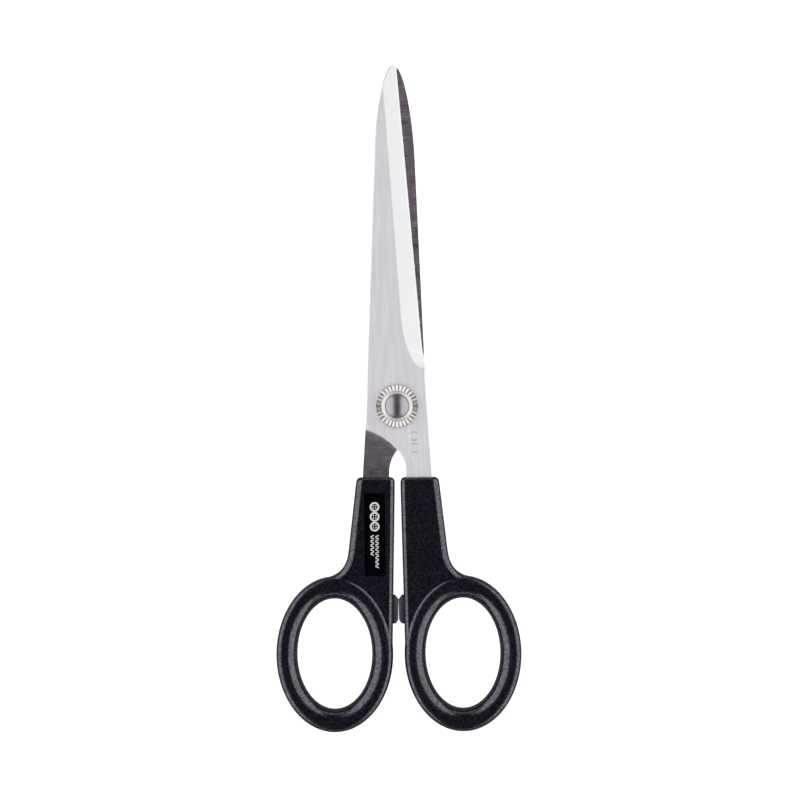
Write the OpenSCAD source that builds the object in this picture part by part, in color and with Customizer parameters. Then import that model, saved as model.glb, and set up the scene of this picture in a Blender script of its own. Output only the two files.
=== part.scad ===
// Right-handed fabric shears, closed and lying flat with the points toward +Y.
// Each half is a steel blade with its tang moulded into a looped plastic handle.
// One half lies above the cutting plane and the other is the same half turned
// over, so every shape of a half is drawn once, about the pivot, and flipped.

/* [Blades] */
// Distance from the pivot to the points
blade_reach = 92; // [86:1:96]
// Thickness of each blade
blade_thickness = 1.8; // [1.6:0.1:2]
// Distance from the long axis to the front blade's spine where its point starts to round in
tip_half_width = 5.55; // [5.2:0.05:5.9]
// Distance from the long axis to the front blade's spine at the heel
heel_half_width = 8; // [7.7:0.1:8.2]
// How much slimmer the rear blade is at its heel
rear_trim = 0.45; // [0:0.05:0.6]
// Half the closed width where the tangs enter the handles
shoulder_half_width = 9.45; // [9.2:0.05:9.8]
// Length of the front blade's rounded point
front_tip_length = 20.4; // [18:0.2:26]
// Length of the rear blade's rounded point
rear_tip_length = 25.2; // [20:0.2:28]
// Radius of the blunt nose at the very point
nose_radius = 0.75; // [0.6:0.05:0.9]
// Lean of the cutting edge from the long axis, in degrees
edge_lean = 4.82; // [4.7:0.01:4.9]
// Width of the ground bevel at its heel end
bevel_width = 4.83; // [4:0.01:5.2]
// Slope of the ground bevel, in degrees
bevel_angle = 18; // [12:0.5:18]
// Length over which the ground bevel runs out at the heel
run_out_length = 14.6; // [10:0.2:18]

/* [Pivot] */
// Diameter of the rivet's shank
shank_diameter = 4; // [3:0.1:4.6]
// Diameter of the rivet's domed head
head_diameter = 6.34; // [5.8:0.02:6.36]
// Height of the dome above the head's rim
dome_height = 0.85; // [0.5:0.05:1]
// Diameter of the fluted washer's flat rim
washer_diameter = 12.4; // [12:0.1:13]
// Number of flutes round the washer
flute_count = 32; // [16:1:40]
// Diameter of the plain washer under the rear blade
back_washer_diameter = 8.4; // [7:0.1:10]

/* [Handles] */
// Distance from the pivot to the bottom of the finger loops
handle_reach = 88; // [84:1:94]
// Thickness of the finger loops
handle_thickness = 8; // [7.6:0.1:9]
// Thickness of the flat necks above the loops
neck_thickness = 7.5; // [6.8:0.1:7.6]
// Distance between the centres of the two finger loops
loop_spacing = 34.68; // [34.4:0.02:36]
// Outer width of a finger loop
loop_width = 31.6; // [30:0.2:32]
// Outer height of a finger loop
loop_height = 42; // [40:0.1:42.5]
// Width of the finger hole at its waist
hole_width = 20.2; // [18:0.2:20.6]
// Height of the finger hole at its waist
hole_height = 29.8; // [27:0.2:30]
// Distance that the hole's rounded mouth spreads on each face
mouth_spread = 2.6; // [1.5:0.1:2.8]
// Radius of the rounded outer edges
edge_round = 1.2; // [0.8:0.1:1.3]
// Radius of the hollow where the neck flows into the loop
neck_hollow = 6.6; // [4:0.2:8]

/* [Stop pads and label] */
// Height of a stop pad along the handle
pad_height = 7.8; // [6:0.1:8]
// Thickness of a stop pad across the two faces
pad_thickness = 4; // [3:0.1:4.6]
// Width of the label
label_width = 5.9; // [4.5:0.1:6]
// Length of the label
label_length = 22.4; // [18:0.2:24]

/* [Hidden] */
$fn = 48;

// The pivot stands this far from the middle of the footprint, at half the thickness
pivot_y = (handle_reach - blade_reach) / 2;
pivot_z = handle_thickness / 2;

// Running clearance: each blade keeps this far from the cutting plane
blade_gap = 0.02;
// Clearance of the turning bore, and of every seat inside a handle
fit_gap = 0.03;
// Cutters reach this far past the surface that they cut
overcut = 1;

steel = [0.80, 0.80, 0.82];
dark_steel = [0.55, 0.54, 0.56];
chrome = [0.90, 0.90, 0.92];
black_plastic = [0.13, 0.13, 0.15];
pad_grey = [0.25, 0.25, 0.28];
label_black = [0.03, 0.03, 0.04];

// Blade outline, about the pivot
edge_tip = [0.55, blade_reach - 1.2];
edge_heel_y = 15;
heel_y = 11;
handle_top_y = -19.2;
// The rear point stops a little short of the front one, behind which it hides
rear_reach = blade_reach - 0.55;
// A point is a quarter ellipse that the nose cuts off this much before its end
nose_cut = 0.4;
// The crotch between blade and tang: a tight arc above the handle, then a wide one to the spine
crotch_centre = [-7.05, -17.9];
crotch_radius = 9.3;
crotch_turn = 41.6;
crotch_wide_radius = 17.5;
crotch_end_x = -8.55;
tang_inner_x = 2.25;
tang_end_y = -46;
// Anchor holes that lock the moulded plastic to the tang
anchor_radius = 1.6;
anchor_x = 5.9;
anchor_ys = [-27, -39];

// Corner below the heel, where the ground bevel runs out
heel_corner = [7.6, 9.5];

// The bevel's width is measured at this height; its inner edge leans a little less than the cutting edge
bevel_start_y = 30;
bevel_lean = 4.03;
// The run-out ends at the heel, where the bevel has risen by its whole depth
run_out_end_y = 9.7;
run_out_rise = 1.67;

// Fluted washer: heights above the front blade and radii
washer_z = blade_gap + blade_thickness + blade_gap;
rim_height = 0.3;
collar_radius = 4.1;
cup_radius = 3.2;
cup_floor = 0.7;
collar_height = 1.4;
skirt_radius = 5.75;
skirt_height = 1.05;
flute_side = 0.42;
flute_length = 1.8;
washer_bore_gap = 0.05;
// Rivet: the head's rim stands in the washer's cup, and the tail is peened over
head_rim = 0.4;
back_washer_height = 0.5;
tail_radius = 2.9;
tail_height = 0.75;

// Finger loop and neck
loop_x = loop_spacing / 2;
loop_y = loop_height / 2 - handle_reach;
// The finger hole's centre is a little nearer the pivot than the loop's
hole_y = loop_y + 0.15;
waist_half = 0.8;
mouth_steps = 4;
mouth_lip = 0.05;
neck_top = [[1.9, handle_top_y], [10.1, handle_top_y], [11.2, -20.4], [13.5, -39.8]];
neck_inner_top = [0.75, -20.4];
neck_inner_bottom = [1.6, -66];
neck_floor_y = -50;
// Facets of a loop, and of the ball that rounds the handle's edges
loop_facets = 56;
ball_facets = 16;

// Stop pads: the stem of each stands in a pocket in the handle's inner wall
pad_top_y = -51;
pad_stem_radius = 1.3;
pad_stem_length = 2.2;
// A pad's top slants down to the middle, its foot is chamfered, and its face leans away below
pad_lip_x = 0.9;
pad_slant = 1.3;
pad_foot_gap = 0.15;
pad_foot_x = 0.75;
pad_chamfer = 1.1;
pad_end_drop = 0.1;
// Label on the left neck
label_centre = [-6.27, -34.65];
label_height = 0.15;
label_corner = 0.5;

// x of the cutting edge at height y
function edge_x(y) = edge_tip.x + (edge_tip.y - y) * tan(edge_lean);

// x of the ground bevel's inner edge at height y
function bevel_x(y) = edge_x(bevel_start_y) - bevel_width - (y - bevel_start_y) * tan(bevel_lean);

// x of the handle's inner wall at height y
function wall_x(y) =
    let (drop = (neck_inner_top.y - y) / (neck_inner_top.y - neck_inner_bottom.y))
    neck_inner_top.x + drop * (neck_inner_bottom.x - neck_inner_top.x);

// One elliptical ring of points, spread outward from the finger hole's waist
function hole_ring(spread, z) =
    [for (i = [0:loop_facets - 1]) let (a = 360 * i / loop_facets)
        [loop_x + (hole_width / 2 + spread) * cos(a), hole_y + (hole_height / 2 + spread) * sin(a), z]];

module about_pivot() {
    translate([0, pivot_y, pivot_z]) children();
}

// Turns one half over, to make the other
module flipped() {
    rotate([0, 180, 0]) children();
}

// Closed skin through rings that all have the same number of points
module loft(rings) {
    sides = len(rings[0]);
    last = (len(rings) - 1) * sides;
    polyhedron(
        points = [for (ring = rings) each ring],
        faces = concat(
            [[for (i = [0:sides - 1]) i]],
            [for (r = [0:sides:last - 1], i = [0:sides - 1])
                [r + i, r + sides + i, r + sides + (i + 1) % sides, r + (i + 1) % sides]],
            [[for (i = [sides - 1:-1:0]) last + i]]
        )
    );
}

// Corners of the tang inside the handle, grown by gap where it is the seat for the tang
function tang_points(gap, top_y) = [
    [shoulder_half_width + gap, top_y],
    [8.6 + gap, tang_end_y + 2],
    [7.8 + gap, tang_end_y - gap],
    [4 - gap, tang_end_y - gap],
    [3.2 - gap, tang_end_y + 2],
    [tang_inner_x - gap, top_y]
];

module anchor_holes(radius) {
    for (y = anchor_ys)
        translate([anchor_x, y, -overcut]) cylinder(r = radius, h = blade_thickness + 2 * overcut);
}

// Outline of a blade and its tang: crotch, spine, rounded point, cutting edge, heel and shoulder
module blade_outline(reach, heel_half, tip_length) {
    tip_y = reach - tip_length;
    ellipse = tip_length + nose_cut;
    point_angle = asin(tip_length / ellipse);
    taper = (heel_half_width - tip_half_width) / (blade_reach - front_tip_length - heel_y);
    wide_centre = crotch_centre - (crotch_wide_radius - crotch_radius) * [cos(crotch_turn), sin(crotch_turn)];
    wide_end = acos((crotch_end_x - wide_centre.x) / crotch_wide_radius);
    nose = [edge_tip.x - nose_radius, reach - nose_radius];
    polygon(concat(
        tang_points(0, crotch_centre.y),
        [for (i = [1:7]) let (a = crotch_turn * i / 8) crotch_centre + crotch_radius * [cos(a), sin(a)]],
        [for (i = [0:8]) let (a = crotch_turn + (wide_end - crotch_turn) * i / 8)
            wide_centre + crotch_wide_radius * [cos(a), sin(a)]],
        [[-heel_half, heel_y]],
        [for (i = [0:14]) let (a = point_angle * i / 14, y = tip_y + ellipse * sin(a))
            [-(heel_half - taper * (y - heel_y)) * cos(a), y]],
        [for (a = [90:-15:0]) nose + nose_radius * [cos(a), sin(a)]],
        [[edge_x(reach - 1.2), reach - 1.2], [edge_x(edge_heel_y), edge_heel_y]],
        [[7.35, 13.6], heel_corner, [7.9, 4]]
    ));
}

// Steel ground away by a wheel's rim, which slopes to the edge and rounds up out of the steel at the heel
module bevel_cut() {
    start = run_out_end_y + run_out_length - bevel_start_y;
    run_out = [for (a = [0:7.5:90]) [start - run_out_length * sin(a), run_out_rise * (1 - cos(a))]];
    above = 2 * blade_thickness;
    translate([bevel_x(bevel_start_y), bevel_start_y, blade_thickness])
        rotate([0, 0, bevel_lean]) rotate([0, bevel_angle, 0])
            translate([-overcut, 0, 0]) rotate([90, 0, 90]) linear_extrude(20)
                polygon(concat(run_out, [
                    [start - run_out_length, above], [blade_reach, above], [blade_reach, 0]
                ]));
}

// One blade, its inner face on z = 0 and the pivot at the origin
module blade(bore_radius) {
    difference() {
        linear_extrude(blade_thickness) children();
        translate([0, 0, -overcut]) cylinder(r = bore_radius, h = blade_thickness + 2 * overcut);
        anchor_holes(anchor_radius);
        bevel_cut();
    }
}

module front_blade() {
    color(steel) about_pivot() translate([0, 0, blade_gap])
        blade(shank_diameter / 2 + fit_gap)
            blade_outline(blade_reach, heel_half_width, front_tip_length);
}

module rear_blade() {
    color(dark_steel) about_pivot() flipped() translate([0, 0, blade_gap])
        blade(shank_diameter / 2)
            blade_outline(rear_reach, heel_half_width - rear_trim, rear_tip_length);
}

// Shallow spherical cap of the given rim radius and height
module dome(radius, height) {
    ball = (radius * radius + height * height) / (2 * height);
    intersection() {
        translate([0, 0, height - ball]) sphere(ball);
        cylinder(r = radius, h = height);
    }
}

// Domed rivet: head in the fluted washer's cup, shank through both blades, peened tail
module pivot_rivet() {
    head_z = washer_z + cup_floor;
    tail_z = -blade_gap - blade_thickness - back_washer_height;
    color(chrome) about_pivot() {
        translate([0, 0, tail_z]) cylinder(d = shank_diameter, h = head_z - tail_z);
        translate([0, 0, head_z]) cylinder(d = head_diameter, h = head_rim);
        translate([0, 0, head_z + head_rim]) dome(head_diameter / 2, dome_height);
        translate([0, 0, tail_z]) rotate([180, 0, 0]) dome(tail_radius, tail_height);
    }
}

// Finishing washer: flat rim, fluted skirt and a rolled collar round the rivet's head
module fluted_washer() {
    bore = shank_diameter / 2 + washer_bore_gap;
    slope = atan((skirt_height - rim_height) / (skirt_radius - collar_radius));
    color(chrome) about_pivot() translate([0, 0, washer_z]) {
        rotate_extrude() polygon([
            [bore, 0], [washer_diameter / 2, 0], [washer_diameter / 2, rim_height],
            [skirt_radius, rim_height], [collar_radius, skirt_height],
            [collar_radius, collar_height - 0.2], [collar_radius - 0.2, collar_height],
            [cup_radius + 0.2, collar_height], [cup_radius, collar_height - 0.2],
            [cup_radius, cup_floor], [bore, cup_floor]
        ]);
        for (i = [0:flute_count - 1])
            rotate(360 * i / flute_count) translate([skirt_radius - 0.1, 0, rim_height + 0.04])
                rotate([0, slope, 0]) translate([-flute_length / 2, 0, 0]) rotate([45, 0, 0])
                    cube([flute_length, flute_side, flute_side], center = true);
    }
}

module back_washer() {
    color(chrome) about_pivot()
        translate([0, 0, -blade_gap - blade_thickness - back_washer_height])
            difference() {
                cylinder(d = back_washer_diameter, h = back_washer_height);
                translate([0, 0, -overcut])
                    cylinder(d = shank_diameter, h = back_washer_height + 2 * overcut);
            }
}

// Neck and loop seen from above, with the hollow between them filled
module handle_outline() {
    offset(r = -neck_hollow) offset(r = neck_hollow) {
        translate([loop_x, loop_y]) scale([loop_width / 2, loop_height / 2]) circle(1, $fn = loop_facets);
        polygon(concat(
            neck_top,
            [[loop_x, neck_floor_y], [loop_x, neck_inner_bottom.y], neck_inner_bottom, neck_inner_top]
        ));
    }
}

// The outline as a slab of full thickness with rounded edges
module rounded_slab() {
    core = handle_thickness - 2 * edge_round;
    minkowski() {
        translate([0, 0, -core / 2]) linear_extrude(core) offset(delta = -edge_round) handle_outline();
        sphere(edge_round / cos(180 / ball_facets), $fn = ball_facets);
    }
}

// Finger hole: a narrow waist whose mouths spread in a quarter ellipse on both faces
module finger_hole() {
    half = handle_thickness / 2;
    rise = half - mouth_lip - waist_half;
    upper = [for (i = [0:mouth_steps]) let (a = 90 * i / mouth_steps)
        [mouth_spread * (1 - cos(a)), waist_half + rise * sin(a)]];
    profile = concat([[mouth_spread, half + overcut]], [for (i = [mouth_steps:-1:0]) upper[i]]);
    loft(concat(
        [for (p = profile) hole_ring(p.x, -p.y)],
        [for (i = [len(profile) - 1:-1:0]) hole_ring(profile[i].x, profile[i].y)]
    ));
}

// Step that sets one face of the neck lower than the crest of the loop
module neck_relief() {
    translate([0, 0, neck_thickness / 2]) difference() {
        linear_extrude(overcut)
            polygon([[-overcut, -18], [15, -18], [17, -42], [23.5, -46], [loop_x, -60], [-overcut, -64]]);
        translate([loop_x, loop_y, -overcut]) linear_extrude(3 * overcut)
            scale([loop_width / 2 - 0.3, loop_height / 2 - 0.3]) circle(1, $fn = loop_facets);
    }
}

// One handle: the seat for the tang leaves a plug of plastic in each anchor hole
module handle() {
    pocket_y = pad_top_y - pad_height / 2;
    pocket_depth = overcut + wall_x(pocket_y) + pad_stem_length + fit_gap;
    difference() {
        rounded_slab();
        finger_hole();
        neck_relief();
        mirror([0, 0, 1]) neck_relief();
        translate([0, 0, blade_gap - fit_gap]) difference() {
            linear_extrude(blade_thickness + 2 * fit_gap)
                polygon(tang_points(fit_gap, handle_top_y + overcut));
            anchor_holes(anchor_radius - fit_gap);
        }
        translate([-overcut, pocket_y, 0]) rotate([0, 90, 0])
            cylinder(r = pad_stem_radius + fit_gap, h = pocket_depth);
    }
}

module handle_right() {
    color(black_plastic) about_pivot() handle();
}

module handle_left() {
    color(black_plastic) about_pivot() flipped() handle();
}

// Bumper on the handle's inner wall, with a slanted top and a stem behind it
module stop_pad() {
    bottom_y = pad_top_y - pad_height;
    middle_y = pad_top_y - pad_height / 2;
    translate([0, 0, -pad_thickness / 2]) linear_extrude(pad_thickness) polygon([
        [wall_x(pad_top_y) - fit_gap, pad_top_y],
        [pad_lip_x, pad_top_y - pad_end_drop],
        [fit_gap, pad_top_y - pad_slant],
        [pad_foot_gap, bottom_y + pad_chamfer],
        [pad_foot_x, bottom_y + pad_end_drop],
        [wall_x(bottom_y) - fit_gap, bottom_y]
    ]);
    translate([pad_foot_x, middle_y, 0]) rotate([0, 90, 0])
        cylinder(r = pad_stem_radius, h = wall_x(middle_y) + pad_stem_length - pad_foot_x);
}

module stop_pad_right() {
    color(pad_grey) about_pivot() stop_pad();
}

module stop_pad_left() {
    color(pad_grey) about_pivot() flipped() stop_pad();
}

// Plain glossy label laid on the left neck
module label() {
    across = label_width / 2 - label_corner;
    along = label_length / 2 - label_corner;
    color(label_black) about_pivot()
        translate([label_centre.x, label_centre.y, neck_thickness / 2]) hull()
            for (x = [-across, across], y = [-along, along])
                translate([x, y, 0]) cylinder(r = label_corner, h = label_height, $fn = 32);
}

front_blade();
rear_blade();
pivot_rivet();
fluted_washer();
back_washer();
handle_right();
handle_left();
stop_pad_right();
stop_pad_left();
label();
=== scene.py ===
# %% [markdown]
# # Fabric shears, lying closed on a pale table
#
# The real shears are two stamped steel blades on one rivet, with a plastic handle
# moulded round each tang. One half lies above the plane where the edges meet, and the
# other is the same half turned over. So each shape of a half is drawn once, about the
# pivot and in millimetres, as on a maker's drawing, and is then set into the frame.

# %% Load the frame
import math

import bmesh
import bpy
from mathutils import Matrix, Vector


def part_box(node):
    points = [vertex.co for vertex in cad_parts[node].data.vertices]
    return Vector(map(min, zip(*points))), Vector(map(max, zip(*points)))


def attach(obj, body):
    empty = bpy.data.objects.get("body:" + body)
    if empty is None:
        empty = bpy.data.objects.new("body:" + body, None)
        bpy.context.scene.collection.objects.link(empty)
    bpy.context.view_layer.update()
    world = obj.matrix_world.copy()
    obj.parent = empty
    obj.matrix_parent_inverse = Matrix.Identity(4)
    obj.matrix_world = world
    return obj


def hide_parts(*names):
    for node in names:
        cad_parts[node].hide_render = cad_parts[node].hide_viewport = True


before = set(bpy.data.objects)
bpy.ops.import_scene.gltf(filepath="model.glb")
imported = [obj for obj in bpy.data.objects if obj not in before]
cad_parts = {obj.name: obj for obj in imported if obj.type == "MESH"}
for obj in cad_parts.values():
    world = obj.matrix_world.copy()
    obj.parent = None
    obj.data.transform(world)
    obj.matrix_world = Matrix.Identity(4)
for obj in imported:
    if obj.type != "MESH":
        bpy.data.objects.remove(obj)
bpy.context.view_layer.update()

# %% [markdown]
# ## Where everything is
#
# The frame knows the place and size of every part, so the driving sizes are read from
# its boxes. Typing them in again would work today, and drift apart at the first change.

# %% Read the driving sizes from the frame
MM = 0.001

rivet_low, rivet_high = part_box("pivot_rivet")
blade_low, blade_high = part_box("front_blade")
rear_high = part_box("rear_blade")[1]
handle_low, handle_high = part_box("handle_right")
washer_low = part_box("fluted_washer")[0]
plate_low, plate_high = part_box("label")
bumper_low, bumper_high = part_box("stop_pad_right")

PIVOT = Vector((
    (rivet_low.x + rivet_high.x) / 2,
    (rivet_low.y + rivet_high.y) / 2,
    (blade_low.z + rear_high.z) / 2,
))
REACH = (blade_high.y - PIVOT.y) / MM            # pivot to the points
THICK = (blade_high.z - blade_low.z) / MM        # of one blade
GAP = (blade_low.z - PIVOT.z) / MM               # from the cutting plane to a blade
LOOP_BOTTOM = (handle_low.y - PIVOT.y) / MM
LOOP_OUTSIDE = (handle_high.x - PIVOT.x) / MM
CREST = (handle_high.z - PIVOT.z) / MM           # half the thickness of a finger loop
FACE = (plate_low.z - PIVOT.z) / MM              # half the thickness of a neck
print(f"blades reach {REACH:.1f} mm and are {THICK:.2f} mm thick; loops are {2 * CREST:.1f} mm thick")

# %% [markdown]
# ## Two helpers for every piece
#
# Long shapes such as blades and necks are one section that changes along its way. In
# mesh terms that is a closed loop of vertices, extruded again and again, with each new
# loop set down where the section is at that station. The result is all four-sided
# faces that run along the piece, which shade cleanly and can be painted strip by strip.

# %% Pull a loop of vertices to its next place
def pull_loop(bm, loop, spots, finishes=None):
    """Extrudes a closed loop and puts the new vertices at spots, in the same order."""
    pairs = list(zip(loop, loop[1:] + loop[:1]))
    made = bmesh.ops.extrude_edge_only(bm, edges=[bm.edges.get(p) for p in pairs])["geom"]
    new = {v for v in made if isinstance(v, bmesh.types.BMVert)}
    fresh = [next(e.other_vert(v) for e in v.link_edges if e.other_vert(v) in new) for v in loop]
    for vert, spot in zip(fresh, spots):
        vert.co = spot
    if finishes:
        for (a, b), c, finish in zip(pairs, fresh, finishes):
            next(f for f in a.link_faces if b in f.verts and c in f.verts).material_index = finish
    return fresh


def start_loop(bm, spots):
    """The first closed loop of a pulled shape."""
    loop = [bm.verts.new(s) for s in spots]
    for a, b in zip(loop, loop[1:] + loop[:1]):
        bm.edges.new((a, b))
    return loop

# %% [markdown]
# A finished piece is one mesh object at the origin, with its place in its vertices.
# The rear half's pieces are the front half's turned over about the long axis, which is
# a true turn and not a mirror, so the faces keep pointing outwards.

# %% Set a shape into the frame
def set_down(name, bm, materials, body, nodes=(), turned=False, subdivide=0, sharp=30):
    """Turns a bmesh in millimetres about the pivot into a piece of the object."""
    bmesh.ops.recalc_face_normals(bm, faces=bm.faces)
    if turned:
        bmesh.ops.rotate(bm, verts=bm.verts, cent=(0, 0, 0), matrix=Matrix.Rotation(math.pi, 3, "Y"))
    bmesh.ops.scale(bm, verts=bm.verts, vec=(MM, MM, MM))
    bmesh.ops.translate(bm, verts=bm.verts, vec=PIVOT)
    mesh = bpy.data.meshes.new(name)
    bm.to_mesh(mesh)
    bm.free()
    mesh.shade_smooth()
    if sharp:
        mesh.set_sharp_from_angle(angle=math.radians(sharp))
    piece = bpy.data.objects.new(name, mesh)
    bpy.context.scene.collection.objects.link(piece)
    for material in materials:
        mesh.materials.append(material)
    if subdivide:
        smooth = piece.modifiers.new("smooth", "SUBSURF")
        smooth.levels = smooth.render_levels = subdivide
    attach(piece, body)
    if nodes:
        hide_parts(*nodes)
    print(f"{name}: {len(mesh.vertices)} vertices, {len(mesh.polygons)} faces before subdivision")
    return piece


def cut(piece, cutters):
    """Subtracts each cutter bmesh, drawn in millimetres about the pivot, from a piece."""
    for bm in cutters:
        bmesh.ops.recalc_face_normals(bm, faces=bm.faces)
        bmesh.ops.scale(bm, verts=bm.verts, vec=(MM, MM, MM))
        bmesh.ops.translate(bm, verts=bm.verts, vec=PIVOT)
        mesh = bpy.data.meshes.new("cutter")
        bm.to_mesh(mesh)
        bm.free()
        tool = bpy.data.objects.new("cutter", mesh)
        bpy.context.scene.collection.objects.link(tool)
        step = piece.modifiers.new("cut", "BOOLEAN")
        step.object, step.operation, step.solver = tool, "DIFFERENCE", "EXACT"
        bpy.context.view_layer.update()
        graph = bpy.context.evaluated_depsgraph_get()
        result = bpy.data.meshes.new_from_object(piece.evaluated_get(graph))
        piece.modifiers.clear()
        old, piece.data = piece.data, result
        bpy.data.meshes.remove(old)
        bpy.data.objects.remove(tool)
        bpy.data.meshes.remove(mesh)

# %% [markdown]
# ## Shader groups
#
# Ground and brushed steel owe their look to thousands of fine scratches, and moulded
# plastic to the grainy skin of its mould. Each effect is built once, as a node group
# that puts out plain values, and every material sets its own amounts.

# %% Group: fine parallel lines
def new_group(name, inputs, outputs):
    """An empty node group with float inputs {name: default} and float outputs."""
    group = bpy.data.node_groups.new(name, "ShaderNodeTree")
    for title, default in inputs.items():
        kind = "NodeSocketVector" if default is None else "NodeSocketFloat"
        socket = group.interface.new_socket(title, in_out="INPUT", socket_type=kind)
        if default is not None:
            socket.default_value = default
    for title in outputs:
        group.interface.new_socket(title, in_out="OUTPUT", socket_type="NodeSocketFloat")
    return group, group.nodes.new("NodeGroupInput"), group.nodes.new("NodeGroupOutput")


def wire(tree, source, target):
    tree.links.new(source, target)


def math_node(tree, operation, *values):
    """A Math node whose inputs are sockets or plain numbers; returns its output socket."""
    node = tree.nodes.new("ShaderNodeMath")
    node.operation = operation
    for socket, value in zip(node.inputs, values):
        if isinstance(value, bpy.types.NodeSocket):
            wire(tree, value, socket)
        else:
            socket.default_value = value
    return node.outputs[0]


def noise_node(tree, vector, scale, detail, roughness=0.5):
    node = tree.nodes.new("ShaderNodeTexNoise")
    wire(tree, vector, node.inputs["Vector"])
    node.inputs["Detail"].default_value = detail
    node.inputs["Roughness"].default_value = roughness
    if isinstance(scale, bpy.types.NodeSocket):
        wire(tree, scale, node.inputs["Scale"])
    else:
        node.inputs["Scale"].default_value = scale
    return node.outputs["Fac"]


def make_line_group():
    """Noise drawn out along one axis: x of Coordinates runs across the lines, y along them."""
    group, given, out = new_group(
        "fine_lines",
        {"Coordinates": None, "Line width mm": 0.15, "Line length mm": 12.0},
        ["Lines", "Bands"],
    )
    split = group.nodes.new("ShaderNodeSeparateXYZ")
    wire(group, given.outputs["Coordinates"], split.inputs[0])
    across = math_node(group, "DIVIDE", split.outputs[0], given.outputs["Line width mm"])
    along = math_node(group, "DIVIDE", split.outputs[1], given.outputs["Line length mm"])
    for title, widen, detail in (("Lines", 1.0, 2.0), ("Bands", 0.12, 3.0)):
        join = group.nodes.new("ShaderNodeCombineXYZ")
        wire(group, math_node(group, "MULTIPLY", across, widen / MM), join.inputs[0])
        wire(group, math_node(group, "MULTIPLY", along, 1 / MM), join.inputs[1])
        wire(group, noise_node(group, join.outputs[0], 1.0, detail), out.inputs[title])
    return group


fine_lines = make_line_group()

# %% Group: the skin of a mould, and the smudges of handling
def make_grain_group():
    """Fine even grain, and slow cloudiness on top of it."""
    group, given, out = new_group(
        "moulded_grain", {"Coordinates": None, "Grain mm": 0.2}, ["Height", "Speckle", "Clouds"]
    )
    scale = math_node(group, "DIVIDE", 1 / MM, given.outputs["Grain mm"])
    coordinates = given.outputs["Coordinates"]
    wire(group, noise_node(group, coordinates, scale, 2.0, 0.6), out.inputs["Height"])
    coarse = math_node(group, "MULTIPLY", scale, 0.8)
    wire(group, noise_node(group, coordinates, coarse, 4.0, 0.7), out.inputs["Speckle"])
    slow = math_node(group, "MULTIPLY", scale, 0.02)
    wire(group, noise_node(group, coordinates, slow, 3.0), out.inputs["Clouds"])
    return group


moulded_grain = make_grain_group()

# %% [markdown]
# ## Steel finishes
#
# A blade carries three finishes. Its outer face is brushed along its length, so it
# throws light from either side up to the eye and looks pale. The bevel and the inner
# face are ground across, so they mirror like plain steel: the bevel leans toward the
# light and shines, and the inner face looks straight up into the dark. The direction
# of the scratches is the anisotropy's tangent, which is carried from the piece's own
# space, so that it turns with the blade as the shears open.

# %% Material helpers
def new_material(name):
    """A material with a Principled shader; returns the material, its tree and the shader."""
    material = bpy.data.materials.new(name)
    material.use_nodes = True
    return material, material.node_tree, material.node_tree.nodes["Principled BSDF"]


def object_coordinates(tree, quarter_turn=False):
    """Object coordinates; a quarter turn swaps across and along."""
    source = tree.nodes.new("ShaderNodeTexCoord").outputs["Object"]
    if not quarter_turn:
        return source
    turn = tree.nodes.new("ShaderNodeMapping")
    turn.inputs["Rotation"].default_value = (0, 0, math.pi / 2)
    wire(tree, source, turn.inputs["Vector"])
    return turn.outputs["Vector"]


def use_group(tree, group, coordinates, **values):
    node = tree.nodes.new("ShaderNodeGroup")
    node.node_tree = group
    wire(tree, coordinates, node.inputs["Coordinates"])
    for title, value in values.items():
        node.inputs[title.replace("_", " ")].default_value = value
    return node


def between(tree, factor, low, high, start=0.3, end=0.7):
    """Remaps a factor between start and end to a range of plain values."""
    node = tree.nodes.new("ShaderNodeMapRange")
    wire(tree, factor, node.inputs["Value"])
    node.inputs["From Min"].default_value = start
    node.inputs["From Max"].default_value = end
    node.inputs["To Min"].default_value = low
    node.inputs["To Max"].default_value = high
    return node.outputs["Result"]


def tint(tree, factor, dark, light):
    """A colour between two, by a factor."""
    node = tree.nodes.new("ShaderNodeMix")
    node.data_type = "RGBA"
    wire(tree, factor, node.inputs["Factor"])
    node.inputs[6].default_value = (*dark, 1)
    node.inputs[7].default_value = (*light, 1)
    return node.outputs[2]


def bump(tree, height, distance, strength=1.0):
    node = tree.nodes.new("ShaderNodeBump")
    node.inputs["Strength"].default_value = strength
    node.inputs["Distance"].default_value = distance
    wire(tree, height, node.inputs["Height"])
    return node.outputs["Normal"]


def scratch_tangent(tree, direction):
    """The direction across the scratches, carried from object space to the world."""
    node = tree.nodes.new("ShaderNodeVectorTransform")
    node.vector_type = "VECTOR"
    node.convert_from, node.convert_to = "OBJECT", "WORLD"
    node.inputs[0].default_value = direction
    return node.outputs[0]

# %% Brushed and ground steel
def steel(name, dark, light, roughness, anisotropy, across, line_mm, length_mm, depth_um):
    """Steel with fine scratches; across is the axis they cross, X or Y."""
    material, tree, shader = new_material(name)
    coordinates = object_coordinates(tree, quarter_turn=across == "Y")
    lines = use_group(tree, fine_lines, coordinates, Line_width_mm=line_mm, Line_length_mm=length_mm)
    both = math_node(tree, "MULTIPLY_ADD", lines.outputs["Lines"], 0.5, 0.0)
    both = math_node(tree, "MULTIPLY_ADD", lines.outputs["Bands"], 0.5, both)
    wire(tree, tint(tree, between(tree, both, 0, 1), dark, light), shader.inputs["Base Color"])
    polish = between(tree, lines.outputs["Lines"], roughness * 0.9, roughness * 1.1)
    wire(tree, polish, shader.inputs["Roughness"])
    wire(tree, bump(tree, lines.outputs["Lines"], depth_um * 1e-6), shader.inputs["Normal"])
    wire(tree, scratch_tangent(tree, (1, 0, 0) if across == "X" else (0, 1, 0)), shader.inputs["Tangent"])
    shader.inputs["Metallic"].default_value = 1.0
    shader.inputs["Anisotropic"].default_value = anisotropy
    return material


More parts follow.
